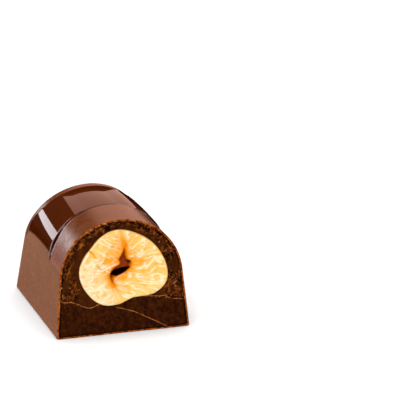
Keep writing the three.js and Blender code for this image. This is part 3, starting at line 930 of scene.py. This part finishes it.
def shell_material():
    """Tempered chocolate: satin on walls and bands, polished on the panel."""
    s = Shader("shell_chocolate")
    polish, ledge_shade = s.mark("polish"), s.mark("ledge_shade")
    mottle = s.noise(1.1, 3.0)
    colour = s.cover(
        (0.112, 0.0265, 0.006),
        (s.range(s.noise(5.0, 4.0), 0.3, 0.7), (0.15, 0.039, 0.0105)),
        # painted light: a lighter tone on the satin haunches
        (s.mark("painted_haunch_light"), (0.24, 0.085, 0.06)),
        (s.range(mottle, 0.4, 0.7, 0, 0.3), (0.15, 0.045, 0.014)),
        (polish, (0.07, 0.011, 0.0008)),
        # painted highlight: pale glints along both edges of the crease
        (s.mark("painted_glint"), (0.4, 0.22, 0.19)),
        # painted shade: near black in the creases and along the ledge
        (s.math("MAXIMUM", s.mark("crease_shade"), ledge_shade), (0.012, 0.001, 0.0001)),
    )
    satin_roughness = s.range(mottle, 0.35, 0.65, 0.25, 0.31)
    roughness = s.math("MULTIPLY", satin_roughness, s.range(polish, 0, 1, 1, 0.12))
    s.set(Base_Color=colour, Roughness=s.math("MAXIMUM", roughness, s.math("MULTIPLY", ledge_shade, 0.7)))
    s.set(Specular_IOR_Level=0.5, Normal=s.bump(s.noise(0.3, 3.0), 0.001))
    return s.material


def rim_material():
    """The shell's broken rim: orange-brown at its edge, partly the shell's own colour and partly a painted
    edge highlight, with a dark crack inside it.
    """
    s = Shader("rim_chocolate")
    colour = s.cover(
        (0.13, 0.02, 0.0006),
        # painted edge highlight: bright orange-brown spots along the rim
        (s.range(s.noise(0.5, 5.0), 0.38, 0.62), (0.45, 0.12, 0.014)),
        (s.range(s.mark("broken"), 0.62, 0.78), CRACK_AND_SHADE_COLOUR),
    )
    s.set(Base_Color=colour, Roughness=0.5, Specular_IOR_Level=0.03)
    return s.material


def cut_material(name, dark, light):
    """Cut dark chocolate: nearly black, with crumbs, painted shade in the hollows between its shards, and
    thin edges with a painted orange-brown highlight.
    """
    s = Shader(name)
    crumbly, shard = s.mark("crumbly"), s.mark("shard")
    broken = s.range(crumbly, 0, 0.3)
    specks = s.range(s.noise(0.5, 5.0, stretch=(1, 1, 0.5)), 0.55, 0.62)
    rim_gap = s.range(s.math("ABSOLUTE", s.mark("from_rim")), 0.14, 0.04)
    seam = s.range(s.mark("from_seam"), LINE_WIDTH, 0.02)
    lines = s.math("MAXIMUM", seam, s.range(s.mark("from_crack"), LINE_WIDTH, 0.02))
    threads = s.range(s.noise(0.6, 4.0), 0.38, 0.55, 0.25, 1)
    colour = s.cover(
        dark,
        (s.range(s.noise(0.9, 5.0, stretch=(1, 1, 0.6), distortion=0.4), 0.35, 0.7), light),
        (s.range(s.noise(0.6, 5.0), 0.45, 0.65, 0, 0.3), (0.1, 0.026, 0.002)),
        (s.math("MULTIPLY", specks, s.range(crumbly, 0, 0.5)), (0.2, 0.045, 0.003)),
        # painted shade in the hollows between the shards
        (s.math("MULTIPLY", s.range(shard, 0.46, 0.3), broken), CRACK_AND_SHADE_COLOUR),
        # painted highlight on the shards' thin crests
        (s.math("MULTIPLY", s.range(shard, 0.6, 0.78), broken), (0.32, 0.085, 0.01)),
        (s.math("MULTIPLY", rim_gap, 0.8), (0.008, 0.0015, 0.0003)),
        (s.math("MULTIPLY", lines, threads), (0.46, 0.17, 0.05)),
    )
    s.set(Base_Color=colour, Roughness=0.5, Specular_IOR_Level=0.03)
    s.set(Normal=s.bump(s.noise(0.25, 5.0), 0.03, s.bump(s.noise(1.0, 4.0), 0.05)))
    return s.material


def crumb_material():
    """Crumbs, from dark to orange-brown, and pale flakes, partly their own colour and partly a painted
    highlight.
    """
    s = Shader("crumb_chocolate")
    colour = s.cover(
        (0.04, 0.008, 0.0005),
        (s.range(s.noise(0.5, 2.0), 0.4, 0.6), (0.27, 0.065, 0.005)),
        # pale flakes: partly their own colour, partly a painted highlight
        (s.mark("flake"), (0.6, 0.3, 0.15)),
    )
    s.set(Base_Color=colour, Roughness=0.45, Specular_IOR_Level=0.2)
    return s.material


def nut_material():
    """Cut kernel: cream, golden where it is broken, with a painted glow where it is thin round the hollow,
    painted shade down the hollow, painted highlights on its fibres and lifted flakes, and a thin skin.
    """
    s = Shader("kernel")
    hollow = s.mark("hollow")
    glow = s.math("MULTIPLY", s.mark("glow"), s.range(s.noise(0.5, 3.0), 0.3, 0.6, 0.7, 1))
    orange = s.math("MULTIPLY", s.mark("orange"), s.range(s.noise(0.7, 3.0), 0.3, 0.6, 0.6, 1))
    colour = s.cover(
        (0.96, 0.68, 0.24),
        (s.range(s.noise(3.0, 2.0), 0.35, 0.65), (0.96, 0.6, 0.15)),
        (s.mark("pale"), (0.95, 0.76, 0.42)),
        (s.range(s.noise(1.1, 4.0, distortion=0.8), 0.48, 0.66, 0, 0.6), (0.96, 0.46, 0.04)),
        # painted orange glow, wide round the hollow
        (s.mark("halo"), (0.97, 0.42, 0.01)),
        # the fibres' pale colour, partly a painted highlight, and a painted highlight along the skin
        (s.math("MULTIPLY", s.mark("fibres_and_highlight"), 0.85), (1.0, 0.88, 0.62)),
        # painted orange glow, close to the hollow's mouth
        (glow, (0.96, 0.3, 0.001)),
        (orange, (0.98, 0.4, 0.012)),
        (s.math("MULTIPLY", s.mark("groove"), 0.85), (0.95, 0.34, 0.01)),
        # painted highlight on the lifted flakes
        (s.mark("lip_highlight"), (0.99, 0.9, 0.7)),
        # painted shade: orange-brown to near black down the hollow, darkest in the slot
        (s.range(hollow, 0.03, 0.4), (0.75, 0.2, 0.004)),
        (s.range(hollow, 0.3, 0.8), (0.27, 0.035, 0.0003)),
        # painted shade: a dark spot in the hollow's right wall
        (s.mark("shade_spot"), (0.03, 0.002, 0.0001)),
        (s.range(s.mark("slot"), 0.06, 0.3), (0.012, 0.0006, 0.0001)),
        (s.mark("skin"), (0.8, 0.3, 0.02)),
    )
    s.set(Base_Color=colour, Roughness=0.4, Specular_IOR_Level=0.1)
    s.set(Subsurface_Weight=0.15, Subsurface_Radius=(1.0, 0.45, 0.12), Subsurface_Scale=0.35 * MM)
    s.set(Normal=s.bump(s.noise(0.3, 4.0, stretch=(1, 1, 2)), 0.04))
    return s.material


# ---- The studio ----


def make_floor():
    """A plain white floor. Polished surfaces mirror it as a warm pool of light round the bar."""
    bpy.ops.mesh.primitive_circle_add(vertices=96, radius=FLOOR_RADIUS * MM, fill_type="NGON")
    floor = bpy.context.object
    floor.name = "floor"
    s = Shader("floor")
    s.set(Base_Color=(0.9, 0.9, 0.9), Roughness=0.9, Specular_IOR_Level=0.1)
    middle = (0, POOL_BACK * MM, 0)
    away = s.node("ShaderNodeVectorMath", {0: s.place, 1: middle}, operation="DISTANCE").outputs["Value"]
    near = s.range(away, HALF_WIDTH * MM, POOL_FADES * MM, POOL_NEAR, 1)
    lit = s.math("MULTIPLY", near, s.range(away, POOL_FADES * MM, POOL_ENDS * MM, 1, 0))
    glow = s.node("ShaderNodeEmission", {"Color": POOL_COLOUR, "Strength": lit}).outputs[0]
    mirrored = s.node("ShaderNodeLightPath").outputs["Is Glossy Ray"]
    made = s.node("ShaderNodeMixShader", {0: mirrored, 1: s.surface.outputs[0], 2: glow})
    s.put(s.tree.nodes["Material Output"].inputs["Surface"], made.outputs[0])
    floor.data.materials.append(s.material)


def towards(azimuth, elevation):
    """Direction from the bar. Azimuth 0 is along +Y, behind the bar, and 90 is along +X."""
    a, e = math.radians(azimuth), math.radians(elevation)
    return Vector((math.sin(a) * math.cos(e), math.cos(a) * math.cos(e), math.sin(e)))


def make_light(name, azimuth, elevation, size, strength):
    """A rectangular light turned to the bar. Reflections don't show it. strength is its brightness."""
    data = bpy.data.lights.new(name, "AREA")
    data.shape = "RECTANGLE"
    data.size, data.size_y = size[0] * MM, size[1] * MM
    data.energy = strength * math.pi * data.size * data.size_y
    light = add_object(name, data)
    out = towards(azimuth, elevation)
    light.location = BAR_MIDDLE + out * LIGHT_DISTANCE * MM
    light.rotation_euler = out.to_track_quat("Z", "Y").to_euler()
    light.visible_camera = light.visible_glossy = False


def make_card(name, corners, strength, colour):
    """A glowing card that only shows in reflections, with its corners at directions from the bar."""
    points = [BAR_MIDDLE + towards(*corner) * CARD_DISTANCE * MM for corner in corners]
    mesh = bpy.data.meshes.new(name)
    mesh.from_pydata(points, [], [range(len(corners))])
    card = add_object(name, mesh)
    s = Shader(name)
    glow = s.node("ShaderNodeEmission", {"Color": colour, "Strength": strength}).outputs[0]
    s.put(s.tree.nodes["Material Output"].inputs["Surface"], glow)
    mesh.materials.append(s.material)
    card.visible_camera = card.visible_diffuse = card.visible_shadow = False


def make_world():
    """White to the camera and dim to everything else, so that the polished chocolate stays dark."""
    world = bpy.data.worlds.new("studio")
    world.use_nodes = True
    nodes, links = world.node_tree.nodes, world.node_tree.links
    dim, white = nodes["Background"], nodes.new("ShaderNodeBackground")
    for background, strength in ((dim, WORLD_DIM), (white, WORLD_BRIGHT)):
        background.inputs["Color"].default_value = (1, 1, 1, 1)
        background.inputs["Strength"].default_value = strength
    mix = nodes.new("ShaderNodeMixShader")
    links.new(nodes.new("ShaderNodeLightPath").outputs["Is Camera Ray"], mix.inputs[0])
    links.new(dim.outputs[0], mix.inputs[1])
    links.new(white.outputs[0], mix.inputs[2])
    links.new(mix.outputs[0], nodes["World Output"].inputs["Surface"])
    bpy.context.scene.world = world


def make_camera():
    """The photograph's view, worked out from the bar's outline in it."""
    back = towards(180 - CAMERA_AZIMUTH, CAMERA_ELEVATION)
    turn = back.to_track_quat("Z", "Y").to_matrix() @ Matrix.Rotation(math.radians(CAMERA_ROLL), 3, "Z")
    place = Vector(CAMERA_TARGET) + Vector((0, FACE_Y, 0)) + back * CAMERA_DISTANCE
    camera = add_object("camera", bpy.data.cameras.new("camera"))
    camera.matrix_world = Matrix.Translation(place * MM) @ turn.to_4x4()
    camera.data.sensor_width = CAMERA_SENSOR
    camera.data.lens = CAMERA_LENS
    camera.data.clip_start, camera.data.clip_end = 0.01, 10
    bpy.context.scene.camera = camera


# ---- The scene ----


def dress(piece, materials, node):
    """Gives a piece its materials and body, and hides the node that it stands in for, if there is one."""
    for material in materials:
        piece.data.materials.append(material)
    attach(piece, "root")
    if node:
        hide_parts(node)


dress(make_shell(), [shell_material(), rim_material()], "shell")
filling = make_cut_chocolate("chocolate_filling", above=True)
dress(filling, [cut_material("filling_chocolate", *FILLING_COLOURS)], "filling")
base_layer = make_cut_chocolate("chocolate_base", above=False)
dress(base_layer, [cut_material("base_chocolate", *BASE_COLOURS)], "base_layer")
dress(make_nut(), [nut_material()], "hazelnut")
dress(make_crumbs(np.random.default_rng(CRUMB_SEED)), [crumb_material()], None)

make_floor()
make_world()
make_camera()
for name, settings in LIGHTS.items():
    make_light(name, *settings)
for name, settings in CARDS.items():
    make_card(name, *settings)

scene = bpy.context.scene
scene.view_settings.view_transform = "Standard"
scene.view_settings.look = "None"
